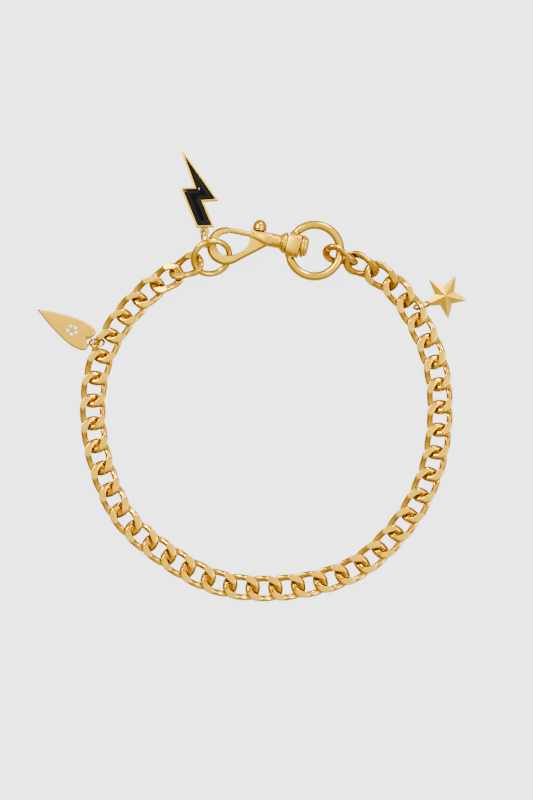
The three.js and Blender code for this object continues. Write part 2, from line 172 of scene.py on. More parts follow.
# A smooth line through points: between two of them a cubic runs from one to the other, and
# its slope at each is the mean of the slopes on both sides, weighted by the root of the spans.
def smoothLine(points, count):
    points = np.asarray(points, float)
    spans = np.sqrt(np.linalg.norm(np.diff(points[:, :2], axis=0), axis=1))
    knots = np.concatenate([[0], np.cumsum(spans)])
    slopes = np.diff(points, axis=0) / spans[:, None]
    weight = (spans[1:] / (spans[1:] + spans[:-1]))[:, None]
    inner = slopes[:-1] * weight + slopes[1:] * (1 - weight)
    ends = np.concatenate([1.5 * slopes[:1] - 0.5 * inner[:1], inner, 1.5 * slopes[-1:] - 0.5 * inner[-1:]])
    at = np.linspace(0, knots[-1], count)
    span = np.clip(np.searchsorted(knots, at, side="right") - 1, 0, len(spans) - 1)
    width = spans[span][:, None]
    t = ((at - knots[span]) / spans[span])[:, None]
    first, last = points[span], points[span + 1]
    rise, fall = ends[span] * width, ends[span + 1] * width
    return ((2 * t**3 - 3 * t**2 + 1) * first + (t**3 - 2 * t**2 + t) * rise
            + (3 * t**2 - 2 * t**3) * last + (t**3 - t**2) * fall)


# A profile of radius and place along x, turned about the x axis.
def turnedShell(profile, segments):
    turn = onceRound(segments)
    radius, along = np.asarray(profile, float).T[..., None]
    return gridShell(np.stack([along + 0 * turn, radius * np.cos(turn), radius * np.sin(turn)], -1))


# A plain cylinder along the x axis.
def cylinderShell(radius, start, end, segments):
    return turnedShell([(0, start), (radius, start), (radius, end), (0, end)], segments)


# Rows of radius, place along the axis and how much of each corner is rounded, as a profile.
def profileLine(rows):
    rows = np.asarray(rows, float)
    return roundCorners(rows[:, :2], rows[:, 2], closed=False)


# A turned shape's axis is x. These matrices swap the axes, so that it stands along y or along z.
alongY, alongZ = np.eye(3)[[1, 0, 2]], np.eye(3)[[1, 2, 0]]


# A wire bent round a circle in the xy plane. It runs from one angle to another, its radius
# follows thickness(share), and its two ends close in half an ellipse of length endRound.
def wireShell(ringRadius, start, end, thickness, rows, columns, endRound=0.2, capRows=5):
    share = np.linspace(0, 1, rows)
    bend = np.linspace(0, math.pi / 2, capRows, endpoint=False)
    cap = np.sin(bend)
    length = ringRadius * abs(end - start)
    lead = (1 - np.cos(bend)) * endRound / length
    share = np.concatenate([lead, lerp(endRound / length, 1 - endRound / length, share), 1 - lead[::-1]])
    scale = np.concatenate([cap, np.ones(rows), cap[::-1]])
    angle = lerp(start, end, share)
    radius = thickness(share) * scale
    turn = onceRound(columns)
    out = ringRadius + radius[:, None] * np.cos(turn)
    return gridShell(polar(out, angle[:, None], radius[:, None] * np.sin(turn)))


# How far each point lies inside a closed outline: the least distance to any of its edges,
# with a minus sign outside, where a ray to the right crosses an even number of edges.
def depthInside(points, outline):
    start, end = outline, np.roll(outline, -1, 0)
    edge = end - start
    away = points[:, None] - start[None]
    share = np.clip((away * edge).sum(-1) / (edge * edge).sum(-1), 0, 1)
    distance = np.linalg.norm(away - share[..., None] * edge, axis=-1).min(1)
    spans = (start[:, 1] > points[:, None, 1]) != (end[:, 1] > points[:, None, 1])
    slope = edge[:, 0] / np.where(edge[:, 1] == 0, 1, edge[:, 1])
    crossing = start[:, 0] + (points[:, None, 1] - start[:, 1]) * slope
    inside = (spans & (points[:, None, 0] < crossing)).sum(1) % 2 == 1
    return np.where(inside, distance, -distance)


staggered = {"rowStep": 0.87, "edgeRoom": 0.45, "merge": 1e-7}


# Triangles over a closed outline, with inner points on a staggered grid of the given spacing. The
# grid's rows are rowStep spacings apart, and its points stay edgeRoom spacings inside the outline.
def fillOutline(outline, spacing):
    low, high = outline.min(0), outline.max(0)
    rows = np.arange(low[1], high[1], spacing * staggered["rowStep"])
    x, y = np.meshgrid(np.arange(low[0], high[0], spacing), rows)
    x = x + (np.arange(len(rows)) % 2)[:, None] * spacing / 2
    inner = np.stack([x.ravel(), y.ravel()], -1)
    inner = inner[depthInside(inner, outline) > staggered["edgeRoom"] * spacing]
    points = np.concatenate([outline, inner])
    edges = [(index, (index + 1) % len(outline)) for index in range(len(outline))]
    result = delaunay_2d_cdt([Vector(point) for point in points], edges, [], 1, staggered["merge"])
    return np.array([tuple(vertex) for vertex in result[0]]), np.array(result[2])


# A closed plate over an outline. Its upper and lower heights follow the depth inside the edge.
def plateShell(outline, upper, lower, spacing):
    flat, triangles = fillOutline(outline, spacing)
    depth = np.maximum(depthInside(flat, outline), 0)
    depth[: len(outline)] = 0
    top = np.column_stack([flat, upper(depth)])
    bottom = np.column_stack([flat, lower(depth)])
    count = len(flat)
    rim = np.arange(len(outline))
    after = np.roll(rim, -1)
    wall = np.stack([rim, rim + count, after + count, after], -1)
    return np.concatenate([top, bottom]), [triangles, triangles[:, ::-1] + count, wall]


# The corners of an outline, moved inwards by distance. Each goes along the sum of the two
# edges' inward normals, over one plus their product.
def insetCorners(corners, distance):
    corners = np.asarray(corners, float)
    way = np.roll(corners, -1, 0) - corners
    way /= np.linalg.norm(way, axis=1, keepdims=True)
    normal = np.stack([-way[:, 1], way[:, 0]], -1)
    before = np.roll(normal, 1, 0)
    return corners + distance * (before + normal) / (1 + (before * normal).sum(1, keepdims=True))


# The matrix of a turn about one of the three axes.
def turnAbout(axis, degrees):
    cosine, sine = math.cos(math.radians(degrees)), math.sin(math.radians(degrees))
    matrix = np.eye(3)
    one, other = [(1, 2), (2, 0), (0, 1)]["xyz".index(axis)]
    matrix[one, one] = matrix[other, other] = cosine
    matrix[one, other], matrix[other, one] = -sine, sine
    return matrix


# A shell's points turned by a matrix and moved.
def placed(shell, matrix=np.eye(3), shift=(0, 0, 0)):
    points, faces = shell
    return points @ np.asarray(matrix).T + np.asarray(shift, float), faces


# The points of a CAD node, in millimetres.
def nodePoints(node):
    data = frame["nodes"][node].data
    points = np.zeros(len(data.vertices) * 3, np.float32)
    data.vertices.foreach_get("co", points)
    return np.unique(np.round(points.reshape(-1, 3).astype(float) / mm, 5), axis=0)


# A node's middle, and its own axes from longest to shortest as the columns of a matrix:
# they are the directions in which its points spread most, less, and least.
def nodeAxes(node):
    points = nodePoints(node)
    middle = points.mean(0)
    spread, axes = np.linalg.eigh(np.cov((points - middle).T))
    longest, shortest = axes[:, 2], axes[:, 0]
    if shortest[2] < 0:
        shortest = -shortest
    return middle, np.column_stack([longest, np.cross(shortest, longest), shortest])


# The shift that seats a shell once it is turned by axes: the middle of its box comes over the middle
# of the node's box and its lowest point to the node's lowest, and then it moves by extra.
def seatShift(shell, axes, node, extra):
    low, high = (np.array(corner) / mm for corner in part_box(node))
    points = placed(shell, axes)[0]
    shift = (low + high) / 2 - (points.min(0) + points.max(0)) / 2
    shift[2] = low[2] - points[:, 2].min()
    return shift + extra


plainSharp = 35.0  # edges that bend by more degrees than this are shaded sharp


# A finished piece: it rides on a body and takes the place of its nodes.
def addPiece(name, shell, material, nodes, body="necklace", sharp=plainSharp, merge=True):
    piece = meshObject(name, shell, sharp, merge)
    piece.data.materials.append(material)
    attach(piece, body)
    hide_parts(*nodes)
    return piece


# A shell in metres as an object. Merging joins its doubled points and turns its faces outwards.
# Without it the points keep their numbers, so that markPiece can mark them.
def meshObject(name, shell, sharp=plainSharp, merge=True):
    points, faces = shell
    data = bpy.data.meshes.new(name)
    data.from_pydata((points * mm).tolist(), [], [face for part in faces for face in part.tolist()])
    if merge:
        mesh = bmesh.new()
        mesh.from_mesh(data)
        bmesh.ops.remove_doubles(mesh, verts=mesh.verts, dist=mergeWithin)
        bmesh.ops.recalc_face_normals(mesh, faces=mesh.faces)
        mesh.to_mesh(data)
        mesh.free()
    smoothShade(data, sharp)
    return newObject(name, data)


# Faces are shaded smooth, and edges that bend by more than the sharp angle are kept sharp.
def smoothShade(data, sharp):
    data.polygons.foreach_set("use_smooth", np.ones(len(data.polygons), bool))
    data.set_sharp_from_angle(angle=math.radians(sharp))
    data.update()


# A closed shell is taken out of a piece, and the result becomes the piece's own mesh.
def cutOut(piece, shell, sharp=plainSharp):
    cutter = meshObject("cutter", shell)
    step = piece.modifiers.new("cut", "BOOLEAN")
    step.operation, step.solver, step.object = "DIFFERENCE", "EXACT", cutter
    bpy.context.view_layer.update()
    whole = piece.evaluated_get(bpy.context.evaluated_depsgraph_get())
    data = bpy.data.meshes.new_from_object(whole)
    piece.modifiers.clear()
    piece.data = data
    bpy.data.objects.remove(cutter)
    smoothShade(data, sharp)


# A node's inputs, each given as a value or as another node's socket.
def feed(tree, node, inputs):
    for socket, value in inputs.items():
        if isinstance(value, bpy.types.NodeSocket):
            tree.links.new(value, node.inputs[socket])
        else:
            node.inputs[socket].default_value = value


# One node of a tree, with its settings and its inputs.
def addNode(tree, kind, inputs=None, **settings):
    node = tree.nodes.new("ShaderNode" + kind)
    for key, value in settings.items():
        setattr(node, key, value)
    feed(tree, node, inputs or {})
    return node


# A value carried in a straight line from one range to another, and held at both ends.
def mapped(tree, value, source, target):
    inputs = {0: value, 1: source[0], 2: source[1], 3: target[0], 4: target[1]}
    return addNode(tree, "MapRange", inputs).outputs[0]


# A mix of two numbers, and of two colours: the first at share 0 and the second at share 1.
def mixedValue(tree, share, first, second):
    return addNode(tree, "Mix", {0: share, 2: first, 3: second}).outputs[0]


def mixedColor(tree, share, first, second):
    return addNode(tree, "Mix", {0: share, 6: first, 7: second}, data_type="RGBA").outputs[2]


# Noise from 0 to 1 at a place. It swings about as many times in a metre as its scale says.
def noise(tree, place, scale, detail, **more):
    return addNode(tree, "TexNoise", {"Vector": place, "Scale": scale, "Detail": detail, **more}).outputs[0]


# A bump from a height of 0 to 1: its relief is the height times the bump depth, at a strength of 1.
def bumped(tree, height, strength):
    return addNode(tree, "Bump", {"Height": height, "Strength": strength, "Distance": bumpDepth}).outputs[0]


# A new material, with its tree and its shader.
def newMaterial(name):
    material = bpy.data.materials.new(name)
    material.use_nodes = True
    return material, material.node_tree, material.node_tree.nodes["Principled BSDF"]


# A new node group. A socket's kind is c for a colour, v for a vector and f for a number.
def newGroup(name, inputs, outputs):
    tree = bpy.data.node_groups.new(name, "ShaderNodeTree")
    kinds = {"c": "NodeSocketColor", "v": "NodeSocketVector", "f": "NodeSocketFloat"}
    for way, sockets in (("INPUT", inputs), ("OUTPUT", outputs)):
        for label, kind in sockets:
            tree.interface.new_socket(name=label, in_out=way, socket_type=kinds[kind])
    return tree, tree.nodes.new("NodeGroupInput").outputs, tree.nodes.new("NodeGroupOutput").inputs


# Plated colour: a pale and a deep gold, mixed by slow cloudy patches, and painted shade: a dark
# recess colour mixed in where ambient occlusion finds the surface closed in by what stands round it.
def platedToneAndShadeGroup():
    inputs = [("Vector", "v"), ("Pale", "c"), ("Deep", "c"), ("Recess Shade", "c")]
    inputs += [("Patch Scale", "f"), ("Patch Share", "f"), ("Deepness", "f"), ("Recess Reach", "f")]
    tree, start, end = newGroup("platedToneAndShade", inputs, [("Color", "c")])
    patch = noise(tree, start["Vector"], start["Patch Scale"], 3.0)
    spread = mapped(tree, patch, (0.35, 0.65), (0.0, start["Patch Share"]))
    depth = addNode(tree, "Math", {0: spread, 1: start["Deepness"]}, operation="ADD", use_clamp=True)
    tone = mixedColor(tree, depth.outputs[0], start["Pale"], start["Deep"])
    # Painted shade: where ambient occlusion finds the surface closed in, the recess colour replaces the plated
    # tone.
    closed = addNode(tree, "AmbientOcclusion", {"Distance": start["Recess Reach"]}, samples=6)
    openness = mapped(tree, closed.outputs["AO"], (0.2, 0.85), (0.0, 1.0))
    tree.links.new(mixedColor(tree, openness, start["Recess Shade"], tone), end["Color"])
    return tree


# Fine finish: grain from fast noise, and brushing from noise stretched along one direction.
# Height is their weighted sum, and Tone swings about one half with it.
def fineFinishGroup():
    inputs = [("Vector", "v"), ("Grain Scale", "f"), ("Stretch", "v"), ("Brush Share", "f")]
    tree, start, end = newGroup("fineFinish", inputs, [("Height", "f"), ("Tone", "f")])
    grain = noise(tree, start["Vector"], start["Grain Scale"], 4.0)
    long = addNode(tree, "VectorMath", {0: start["Vector"], 1: start["Stretch"]}, operation="MULTIPLY")
    brush = noise(tree, long.outputs[0], 1.0, 5.0, Roughness=0.7)
    both = mixedValue(tree, start["Brush Share"], grain, brush)
    tree.links.new(both, end["Height"])
    tree.links.new(mapped(tree, both, (0.3, 0.7), (0.0, 1.0)), end["Tone"])
    return tree


platedToneAndShade = platedToneAndShadeGroup()
fineFinish = fineFinishGroup()

# The tones of plated gold. The recess colour is painted shade for closed-in places.
goldTones = {
    "Pale": (1.0, 0.6, 0.004, 1), "Deep": (0.73, 0.31, 0.004, 1), "Recess Shade": (0.44, 0.188, 0.004, 1),
    "Patch Scale": 350.0, "Patch Share": 0.3,
}
# Painted shade: the darker colour that gold takes where it is seen in gold's reflections.
goldShadeInReflection = (0.47, 0.33, 0.004, 1)
evenGrain, alongClasp, acrossClasp = (2500.0, 2500.0, 2500.0), (400.0, 4000.0, 4000.0), (4000.0, 400.0, 400.0)
claspTilt = 11.2  # degrees that bring the clasp's axis in line with x
grainScale, goldBump = 9000.0, 0.004
bumpDepth = 0.0002  # metres


# A gold-plated surface: the plated tone, with roughness and bump from the fine finish. Gold seen in
# gold's reflections is painted darker, as painted shade between parts. Where the mesh has them, a
# "ground" attribute marks faces that take the satin roughness and the pale tone, painted lighter than
# the sides, and an "inner" attribute marks faces painted in the deep tone as painted shade.
def goldFinish(name, smooth, satin=None, deepness=0.2, stretch=evenGrain, brush=0.4, turn=0.0, reach=0.0015):
    material, tree, shader = newMaterial(name)
    place = addNode(tree, "TexCoord").outputs["Object"]
    turned = addNode(tree, "Mapping", {"Vector": place, "Rotation": (0, 0, math.radians(turn))})
    inputs = {"Vector": turned.outputs[0], "Grain Scale": grainScale, "Stretch": stretch, "Brush Share": brush}
    fine = addNode(tree, "Group", inputs, node_tree=fineFinish).outputs
    rough = mapped(tree, fine["Tone"], (0, 1), smooth)
    if satin:
        # Painted light and shade: ground faces take the pale tone, other faces the deep tone by deepness, and
        # faces marked inner the deep tone in full.
        ground = addNode(tree, "Attribute", attribute_name="ground").outputs["Fac"]
        inner = addNode(tree, "Attribute", attribute_name="inner").outputs["Fac"]
        deepness = mixedValue(tree, ground, mapped(tree, inner, (0, 1), (deepness, 1.0)), 0.0)
        rough = mixedValue(tree, ground, rough, mapped(tree, fine["Tone"], (0, 1), satin))
    inputs = {"Vector": place, "Deepness": deepness, "Recess Reach": reach, **goldTones}
    tone = addNode(tree, "Group", inputs, node_tree=platedToneAndShade).outputs["Color"]
    # Painted shade: gold seen in a reflection takes the darker colour.
    again = addNode(tree, "LightPath").outputs["Is Glossy Ray"]
    color = mixedColor(tree, again, tone, goldShadeInReflection)
    relief = bumped(tree, fine["Height"], goldBump)
    feed(tree, shader, {"Base Color": color, "Metallic": 1.0, "Roughness": rough, "Normal": relief})
    return material


enamel = {
    "dark": (0.0016, 0.0015, 0.0014, 1), "light": (0.005, 0.0046, 0.0044, 1), "specular": 0.15, "cloud": 220.0,
    "rough": (0.04, 0.1), "ripple": 120.0, "bump": 0.15,
}
stoneLook = {
    "dark": (0.8, 0.82, 0.85, 1), "light": (0.98, 0.98, 1, 1), "ior": 2.4, "facet": 2600.0, "rough": (0.03, 0.12),
}


# Black enamel: nearly black glass with a trace of cloudiness and a waxy ripple.
def enamelFinish():
    material, tree, shader = newMaterial("blackEnamel")
    place = addNode(tree, "TexCoord").outputs["Object"]
    cloud = noise(tree, place, enamel["cloud"], 3.0)
    ripple = noise(tree, place, enamel["ripple"], 1.0)
    feed(tree, shader, {
        "Base Color": mixedColor(tree, cloud, enamel["dark"], enamel["light"]),
        "Roughness": mapped(tree, cloud, (0, 1), enamel["rough"]),
        "Specular IOR Level": enamel["specular"], "Normal": bumped(tree, ripple, enamel["bump"]),
    })
    return material


# White stones: pale glassy facets, each a little lighter or darker than the next, as painted light and shade of
# facets catching the light.
def stoneFinish():
    material, tree, shader = newMaterial("whiteStone")
    place = addNode(tree, "TexCoord").outputs["Object"]
    cell = addNode(tree, "TexVoronoi", {"Vector": place, "Scale": stoneLook["facet"]}).outputs
    feed(tree, shader, {
        "Base Color": mixedColor(tree, cell["Color"], stoneLook["dark"], stoneLook["light"]),
        "Roughness": mapped(tree, cell["Distance"], (0, 1), stoneLook["rough"]), "IOR": stoneLook["ior"],
    })
    return material


# The chain's sides are painted deeper than its flats, and its inner sides deepest: painted shade.
chainGold = goldFinish("chainGold", (0.15, 0.22), (0.34, 0.42), deepness=0.4, reach=0.0022)
ringGold = goldFinish("ringGold", (0.2, 0.28), deepness=0.0)
armGold = goldFinish("armGold", (0.18, 0.26), (0.36, 0.44), stretch=alongClasp, brush=0.6, turn=claspTilt)
claspGold = goldFinish("claspGold", (0.32, 0.42), stretch=alongClasp, brush=0.6, turn=claspTilt)
barrelGold = goldFinish("barrelGold", (0.32, 0.42), stretch=acrossClasp, brush=0.6, turn=claspTilt)
polishGold = goldFinish("polishGold", (0.16, 0.22))
charmGold = goldFinish("charmGold", (0.32, 0.4), brush=0.3)
starGold = goldFinish("starGold", (0.28, 0.36), deepness=0.3, brush=0.3)
blackEnamel = enamelFinish()
whiteStone = stoneFinish()
print("finishes are mixed")

link = {
    "count": 42, "length": 14.4, "width": 9.85, "height": 3.2,
    "tipWire": 2.65, "strandWire": 2.35, "tipFill": 0.8, "tipInner": 0.42, "shoulder": 0.55, "squareness": 2.4,
    "tipRise": 1.25, "strandRise": 1.1, "crossingRise": 1.0, "weave": 0.86,
    "crossingGap": 0.1, "pressedOver": 0.7, "pressedFrom": 0.36, "pressedTo": 0.66, "edgeRound": 0.14,
    "rows": 120, "sideColumns": 9, "flatColumns": 7, "crown": 0.15, "step": 0.001,
    "groundFrom": 0.06, "groundTo": 0.02, "shadedSideFrom": -0.1, "shadedSideTo": 0.35,
}


# A curb link, lying along x. Its centreline is a superellipse: round the angle, the radius is
# (|cos| over half the length, to the n, plus |sin| over half the width, to the n) to the -1/n.
# The wire's section is a superellipse too, squarer at the crossings. It rises by the weave times
# the sine of twice the angle, and is ground off at the link's height and at the crossing gap.
def linkShell():
    turn = onceRound(link["rows"])
    halfLength = (link["length"] - link["tipWire"]) / 2
    halfWidth = (link["width"] - link["strandWire"]) / 2
    power = link["squareness"]

    def centre(angle):
        sizes = np.abs(np.cos(angle) / halfLength) ** power + np.abs(np.sin(angle) / halfWidth) ** power
        return polar(sizes ** (-1 / power), angle)

    way = centre(turn + link["step"]) - centre(turn - link["step"])
    way /= np.linalg.norm(way, axis=1, keepdims=True)
    weave, tipness = np.sin(2 * turn), (1 + np.cos(2 * turn)) / 2
    plain = lerp(link["strandRise"], link["tipRise"], tipness)
    rise = lerp(plain, link["crossingRise"], weave**2)
    wire = lerp(link["strandWire"], link["tipWire"], tipness ** link["tipFill"])
    half = link["height"] / 2
    pressed = (half + link["crossingGap"] / 2) * softStep(tipness, link["pressedFrom"], link["pressedTo"])
    lowest = -half + pressed * softStep(weave, 0, link["pressedOver"])
    highest = half - pressed * softStep(-weave, 0, link["pressedOver"])
    sectionPower = 2 + 2 * weave**2

    limit = math.pi / 2 - link["crown"]
    upper = np.clip((highest - link["weave"] * weave) / rise, -1, 1)
    lower = np.clip((lowest - link["weave"] * weave) / rise, -1, 1)
    topAt = np.minimum(np.arcsin(signedPower(upper, sectionPower / 2)), limit)
    lowAt = np.maximum(np.arcsin(signedPower(lower, sectionPower / 2)), -limit)
    side = (1 - np.cos(np.linspace(0, math.pi, link["sideColumns"], endpoint=False))) / 2
    flat = (1 - np.cos(np.linspace(0, math.pi, link["flatColumns"], endpoint=False))) / 2
    spans = [(lowAt, topAt, side), (topAt, math.pi - topAt, flat)]
    spans += [(math.pi - topAt, math.pi - lowAt, side), (math.pi - lowAt, 2 * math.pi + lowAt, flat)]
    section = np.concatenate([lerp(a[:, None], b[:, None], share[None]) for a, b, share in spans], 1)

    bend = (2 / sectionPower)[:, None]
    out, up = signedPower(np.cos(section), bend), signedPower(np.sin(section), bend)
    fall = 1 - link["shoulder"] * tipness[:, None] ** 2 * np.maximum(out, 0) ** 2
    height = (link["weave"] * weave)[:, None] + rise[:, None] * up * fall
    height = softLower(height, highest[:, None], link["edgeRound"])
    height = -softLower(-height, -lowest[:, None], link["edgeRound"])
    reach = out * (wire / 2)[:, None] - np.maximum(-out, 0) * (link["tipInner"] * tipness**3)[:, None]
    middle = centre(turn)
    points = np.stack([middle[:, :1] + way[:, 1:] * reach, middle[:, 1:] - way[:, :1] * reach, height], -1)
    # ground marks the link's flats, painted in the pale tone; inner marks the wire's sides that face into the
    # link, painted in the deep tone as painted shade.
    ground = softStep(np.abs(height), half - link["groundFrom"], half - link["groundTo"])
    inner = softStep(-out, link["shadedSideFrom"], link["shadedSideTo"]) * (1 - ground)
    return gridShell(points, closedRows=True), {"ground": ground, "inner": inner}


# Attributes of a piece, one value to each of its points.
def markPiece(piece, marks):
    for label, values in marks.items():
        layer = piece.data.attributes.new(label, "FLOAT", "POINT")
        layer.data.foreach_set("value", values.ravel().astype(np.float32))


# The same link 42 times, each laid over its node.
def addLinks():
    shell, marks = linkShell()
    for number in range(1, link["count"] + 1):
        node = f"link_{number:02d}"
        middle, axes = nodeAxes(node)
        piece = addPiece(f"chainLink{number:02d}", placed(shell, axes, middle), chainGold, [node],
                         sharp=60, merge=False)
        markPiece(piece, marks)


addLinks()
print("chain links are laid")

joint = {row["name"]: row for row in frame["joints"]}["hook_swivel"]
claspAt = np.array(joint["pos_m"]) / mm
claspX = np.array(joint["axis"])
claspAxes = np.column_stack([claspX, np.cross([0, 0, 1], claspX), [0, 0, 1]])
claspTurn = {"hook": -6.0, "ringSkew": -4.0, "ringLean": -2.5}
hookAxes = claspAxes @ turnAbout("x", claspTurn["hook"])
ringAxes = claspAxes @ turnAbout("z", claspTurn["ringSkew"]) @ turnAbout("y", claspTurn["ringLean"])


# A shell on the hook, worked out with the clasp's axis along x, in its place.
def onHook(shell):
    return placed(shell, hookAxes, claspAt)


swivel = {
    "ringRadius": 9.77, "wire": 3.3, "centre": 10.6, "openAt": 20.0,
    "neck": 0.14, "neckAt": 0.035, "neckSpan": 0.018,
}
barrel = {"end": 4.95, "halfWidth": 4.55, "halfHeight": 4.15, "squareness": 3.6, "bore": 1.95, "sides": 96}
barrelProfile = [  # along the axis from the start, and how far inside the full size
    (0.0, 0.7), (0.0, 0.25), (0.06, 0.08), (0.22, 0.0), (4.0, 0.0), (4.1, 0.12), (4.22, 0.12), (4.3, -0.04),
    (4.7, -0.04), (4.86, 0.06), (4.95, 0.25), (4.95, 0.7),
]


# The ring's wire narrows a little just before it enters the barrel: its radius is half the wire,
# less a share that falls off as e to the minus the squared distance from the neck.
def swivelWire(share):
    away = (np.minimum(share, 1 - share) - swivel["neckAt"]) / swivel["neckSpan"]
    return swivel["wire"] / 2 * (1 - swivel["neck"] * np.exp(-(away**2)))


# A square barrel with rounded edges: its section is a superellipse, |y| over the half width plus |z|
# over the half height, each to the squareness. Its rows follow the profile along the axis, the
# outer ones moved inwards by the profile's inset, and the inner ones are the round bore.
def barrelShell():
    sides = polar(1, onceRound(barrel["sides"]))
    bent = signedPower(sides, 2 / barrel["squareness"])
    rings = []
    for along, inset in barrelProfile:
        ring = bent * [barrel["halfWidth"] - inset, barrel["halfHeight"] - inset]
        rings.append(np.column_stack([np.full(len(ring), along), ring]))
    for along in (barrel["end"], 0.0):
        rings.append(np.column_stack([np.full(len(sides), along), barrel["bore"] * sides]))
    return gridShell(np.stack(rings), closedRows=True)


# The ring's wire is open where the barrel stands, and runs into the barrel at both ends.
def addSwivelRing():
    openAt = math.radians(swivel["openAt"])
    start, end = math.pi + openAt, 3 * math.pi - openAt
    wire = wireShell(swivel["ringRadius"], start, end, swivelWire, rows=160, columns=40)
    ring = placed(placed(wire, shift=(swivel["centre"], 0, 0)), ringAxes, claspAt)
    addPiece("swivelRing", ring, ringGold, ["swivel_ring"])
    block = placed(barrelShell(), ringAxes, claspAt)
    addPiece("swivelBarrel", block, barrelGold, ["swivel_ring"], sharp=30)


addSwivelRing()

spindle = [  # radius, place along the axis, and how much of each corner is rounded
    (0.0, -8.9, 0), (1.9, -8.9, 0.3), (2.6, -8.2, 0.3), (2.6, -2.95, 0.3), (3.3, -2.32, 0.15), (3.5, -1.98, 0.08),
    (3.28, -1.92, 0.04), (3.28, -1.82, 0.04), (3.8, -1.78, 0.1), (3.98, -1.5, 0.15), (3.98, -0.62, 0.2),
    (3.72, -0.3, 0.15), (3.3, -0.28, 0.05), (3.3, -0.04, 0.05), (1.45, -0.04, 0.1), (1.45, 5.0, 0.1),
    (3.7, 5.0, 0.05), (3.7, 5.3, 0.05), (4.0, 5.32, 0.1), (4.3, 5.6, 0.15), (4.3, 6.1, 0.25),
    (3.85, 6.5, 0.1), (3.72, 6.55, 0.06), (3.68, 7.1, 0.3), (3.25, 7.68, 0.4), (2.0, 7.94, 0.6), (0.0, 8.0, 0),
]
housing = {
    "mouth": -14.5, "end": -6.0, "top": 2.6, "mouthRadius": 1.8, "tubeRadius": 2.58, "from": -13.6, "to": -7.6,
    "squareness": 2.8, "plainFrom": 0.3, "rows": 60, "sides": 72,
    "lip": [(0.0, 0.15), (0.04, 0.05), (0.15, 0.0)],  # how far behind the mouth, and how much narrower
}
boltRod = {
    "radius": 1.06, "across": 0.6, "tip": -22.5, "tail": -10.6, "cut": 0.12, "travel": 6.0, "clearance": 0.3,
}
stem = {"at": -12.9, "radius": 0.5, "clearance": 0.3, "top": 4.6, "slotRound": 0.9}
cutPast = 1.0  # how far the bore and the slot are cut past the surface
arm = {
    "thickness": 2.3, "innerBevel": 0.42, "outerBevel": 0.95, "outerDrop": 0.85, "cut": 0.14,
    "tipLength": 0.8, "tipShrink": 0.23, "groundDepth": 0.03, "rows": 150,
}
armLine = [  # the outer edge, along the axis and across it, and then the inner edge beside it
    (-22.55, 1.6, -22.55, -0.85), (-25.1, 1.35, -24.1, -1.1), (-28.2, -0.8, -25.8, -2.55),
    (-29.8, -4.6, -26.4, -4.9), (-29.35, -8.55, -25.9, -7.0), (-26.85, -11.6, -24.7, -8.4),
    (-22.7, -12.9, -22.6, -9.1), (-18.9, -11.8, -20.0, -8.7), (-16.8, -10.2, -18.2, -7.8),
    (-14.9, -8.6, -16.5, -6.5), (-12.7, -6.85, -15.0, -4.7), (-11.2, -5.65, -14.35, -2.8),
    (-9.6, -4.35, -14.2, -0.6), (-7.4, -2.55, -12.0, 0.6),
]


# The spring housing: superellipse sections whose radius grows smoothly from the mouth to the tube,
# and whose tops stay in one straight line.
def housingShell():
    behind, narrower = np.array(housing["lip"]).T
    plain = np.linspace(housing["mouth"] + housing["plainFrom"], housing["end"], housing["rows"])
    along = np.concatenate([[housing["mouth"]], housing["mouth"] + behind, plain, [housing["end"]]])
    radius = lerp(housing["mouthRadius"], housing["tubeRadius"], softStep(along, housing["from"], housing["to"]))
    middle = housing["top"] - radius
    radius[1:len(behind) + 1] -= narrower
    radius[0] = radius[-1] = 0
    turn = onceRound(housing["sides"])
    bend = 2 / housing["squareness"]
    across = middle[:, None] + radius[:, None] * signedPower(np.cos(turn), bend)
    up = radius[:, None] * signedPower(np.sin(turn), bend)
    return gridShell(np.stack([np.broadcast_to(along[:, None], up.shape), across, up], -1))


# The hook's arm: a flat section with a narrow inner bevel and a wide outer one, carried round
# between two lines, its outer edge and its inner edge. A chamfer runs round its tip.
def armShell():
    line = smoothLine(armLine, arm["rows"])
    outer, inner = line[:, :2], line[:, 2:]
    width = np.linalg.norm(inner - outer, axis=1)
    across = (inner - outer) / width[:, None]
    half = arm["thickness"] / 2
    near, far, drop = arm["innerBevel"], arm["outerBevel"], arm["outerDrop"]
    rows = []
    for span in width:
        upper = [(span, half - near), (span - near, half), (far, half), (0, half - drop)]
        rows.append(roundCorners(upper + [(side, -up) for side, up in upper[::-1]], arm["cut"], 4))
    rows = np.stack(rows)
    points = np.concatenate([outer[:, None] + rows[..., :1] * across[:, None], rows[..., 1:]], -1)
    middle = points[:1].mean(1, keepdims=True)
    face = middle + (points[:1] - middle) * (1 - arm["tipShrink"])
    points[0, :, 0] -= arm["tipLength"]
    tip = middle + 0 * face
    root = points[-1:].mean(1, keepdims=True) + 0 * face
    return gridShell(np.concatenate([tip, face, points, root]))


# The hole that the rod slides in: a cylinder round it, longer by its travel.
def boreShell():
    radius = boltRod["radius"] + boltRod["clearance"]
    end = boltRod["tail"] + boltRod["travel"] + boltRod["clearance"]
    bore = cylinderShell(radius, housing["mouth"] - cutPast, end, segments=48)
    return placed(bore, shift=(0, boltRod["across"], 0))


# The slot that the stem slides in: a long hole with round ends, from the rod out through the side.
def slotShell():
    radius = stem["radius"] + stem["clearance"]
    corners = radius * np.array([[-1, -1], [1, -1], [1, 1], [-1, 1]])
    corners[:, 0] += [0, boltRod["travel"], boltRod["travel"], 0]
    outline = roundCorners(corners, radius * stem["slotRound"], 8)
    rings = [np.column_stack([outline[:, 0] + stem["at"], np.full(len(outline), level), outline[:, 1]])
             for level in (boltRod["across"], housing["top"] + cutPast)]
    caps = [np.broadcast_to(ring.mean(0), ring.shape) for ring in rings]
    return gridShell(np.stack([caps[0], rings[0], rings[1], caps[1]]))


